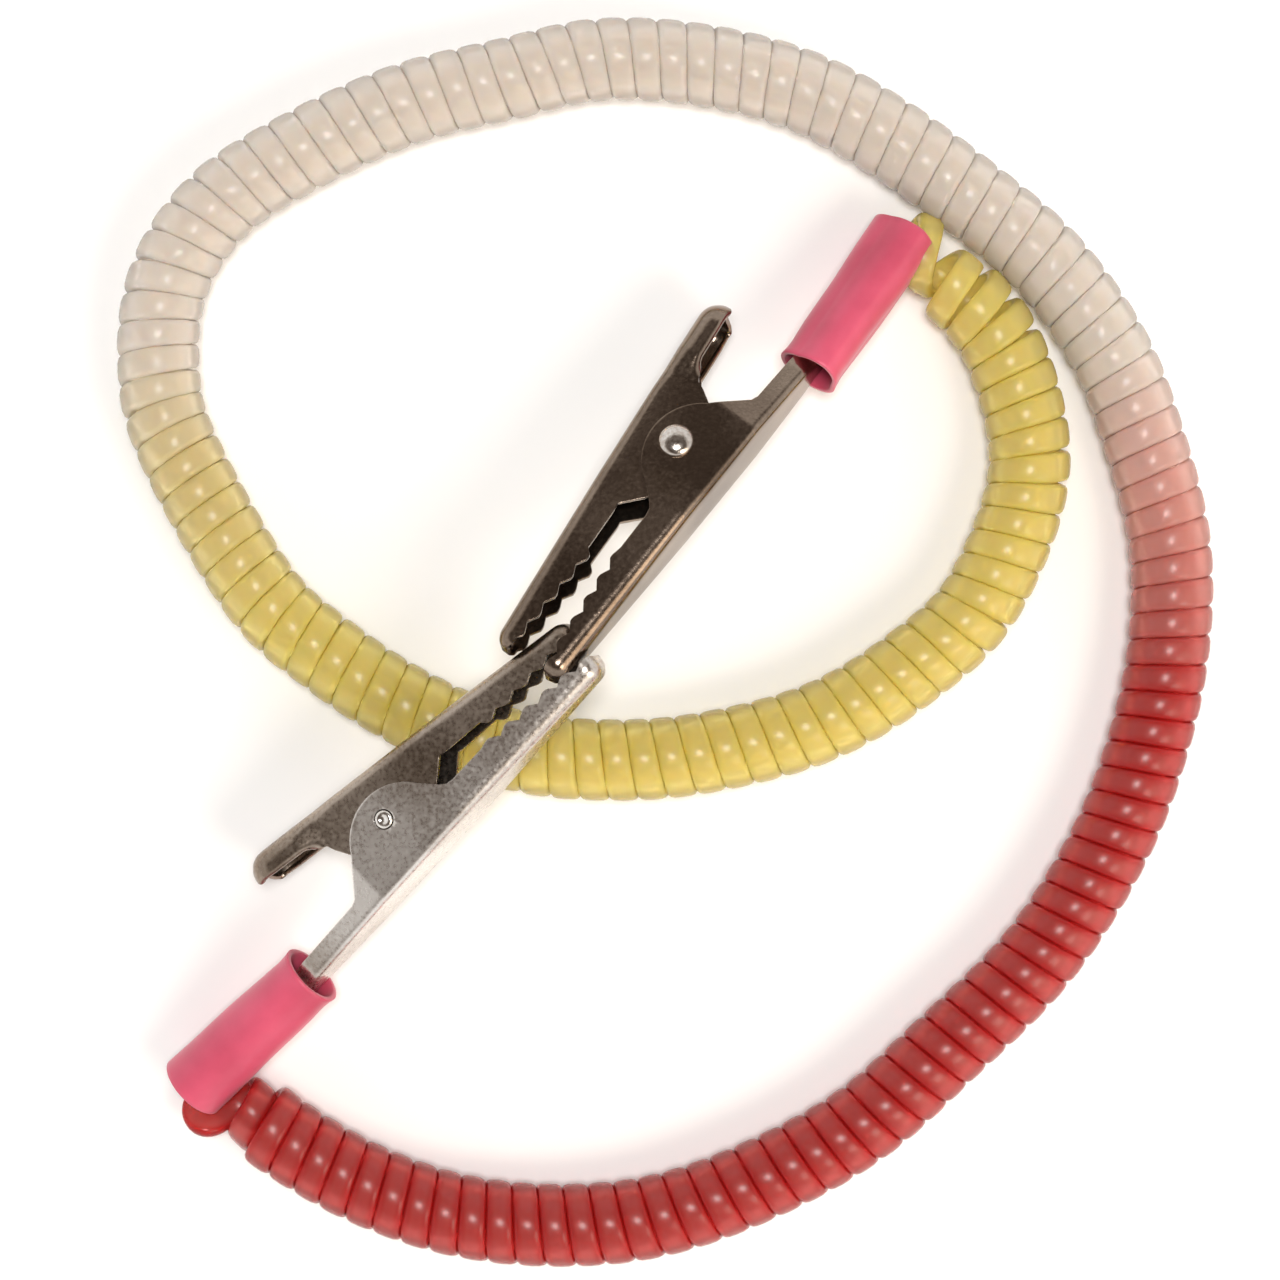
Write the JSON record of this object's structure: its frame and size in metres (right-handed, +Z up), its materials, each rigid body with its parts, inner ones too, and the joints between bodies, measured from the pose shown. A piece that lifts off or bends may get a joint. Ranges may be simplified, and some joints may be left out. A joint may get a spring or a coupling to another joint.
{
  "type": "coiled clip cord",
  "caption": "Relaxed translucent curly cord with a sprung alligator clip and a soft sleeve at each end; the two clips bite each other.",
  "frame": {"origin": "middle of the footprint of the two clips and their sleeves, on the table; the cord is left out of it", "axes": "+Z up from the table, +Y and +X in the table's plane; the pair of clips runs from -X -Y, the red end, to +X +Y, the yellow end"},
  "size_m": [0.1095, 0.1247, 0.0201],
  "materials": {
    "jaw_metal": "nickel plated, bright, finely scratched",
    "rivet_metal": "nickel plated",
    "spring_wire": "bright spring wire",
    "sleeve_vinyl": "soft satin vinyl",
    "cord_red": "translucent, glossy",
    "cord_yellow": "translucent, glossy",
    "cord_dyed": "translucent, glossy, dyed red to clear to yellow along its length"
  },
  "bodies": {
    "jaws_and_cord": {"barrel_jaw_red": "jaw_metal", "rivet_red": "rivet_metal", "spring_red": "spring_wire", "sleeve_red": "sleeve_vinyl", "cord_tail_red": "cord_red", "barrel_jaw_yellow": "jaw_metal", "rivet_yellow": "rivet_metal", "spring_yellow": "spring_wire", "sleeve_yellow": "sleeve_vinyl", "cord_tail_yellow": "cord_yellow", "coil_cord": "cord_dyed"},
    "lever_red": {"lever_jaw_red": "jaw_metal"},
    "lever_yellow": {"lever_jaw_yellow": "jaw_metal"}
  },
  "joints": [
    {"name": "red_clip_hinge", "type": "hinge", "parent": "jaws_and_cord", "child": "lever_red", "pos_m": [-0.0148, -0.0148, 0.0111], "axis": [-0.2956, -0.0395, 0.9545], "range_deg": [0, 16], "stiffness_Nm_per_rad": 0.1, "springref_deg": -57.3, "deforming": ["spring_red"]},
    {"name": "yellow_clip_hinge", "type": "hinge", "parent": "jaws_and_cord", "child": "lever_yellow", "pos_m": [0.0125, 0.0205, 0.0111], "axis": [0.0322, -0.3183, -0.9474], "range_deg": [0, 21], "stiffness_Nm_per_rad": 0.1, "springref_deg": -57.3, "deforming": ["spring_yellow"]}
  ],
  "couplings": [
    {"joint": "yellow_clip_hinge", "follows": "red_clip_hinge", "ratio": 1.3}
  ]
}
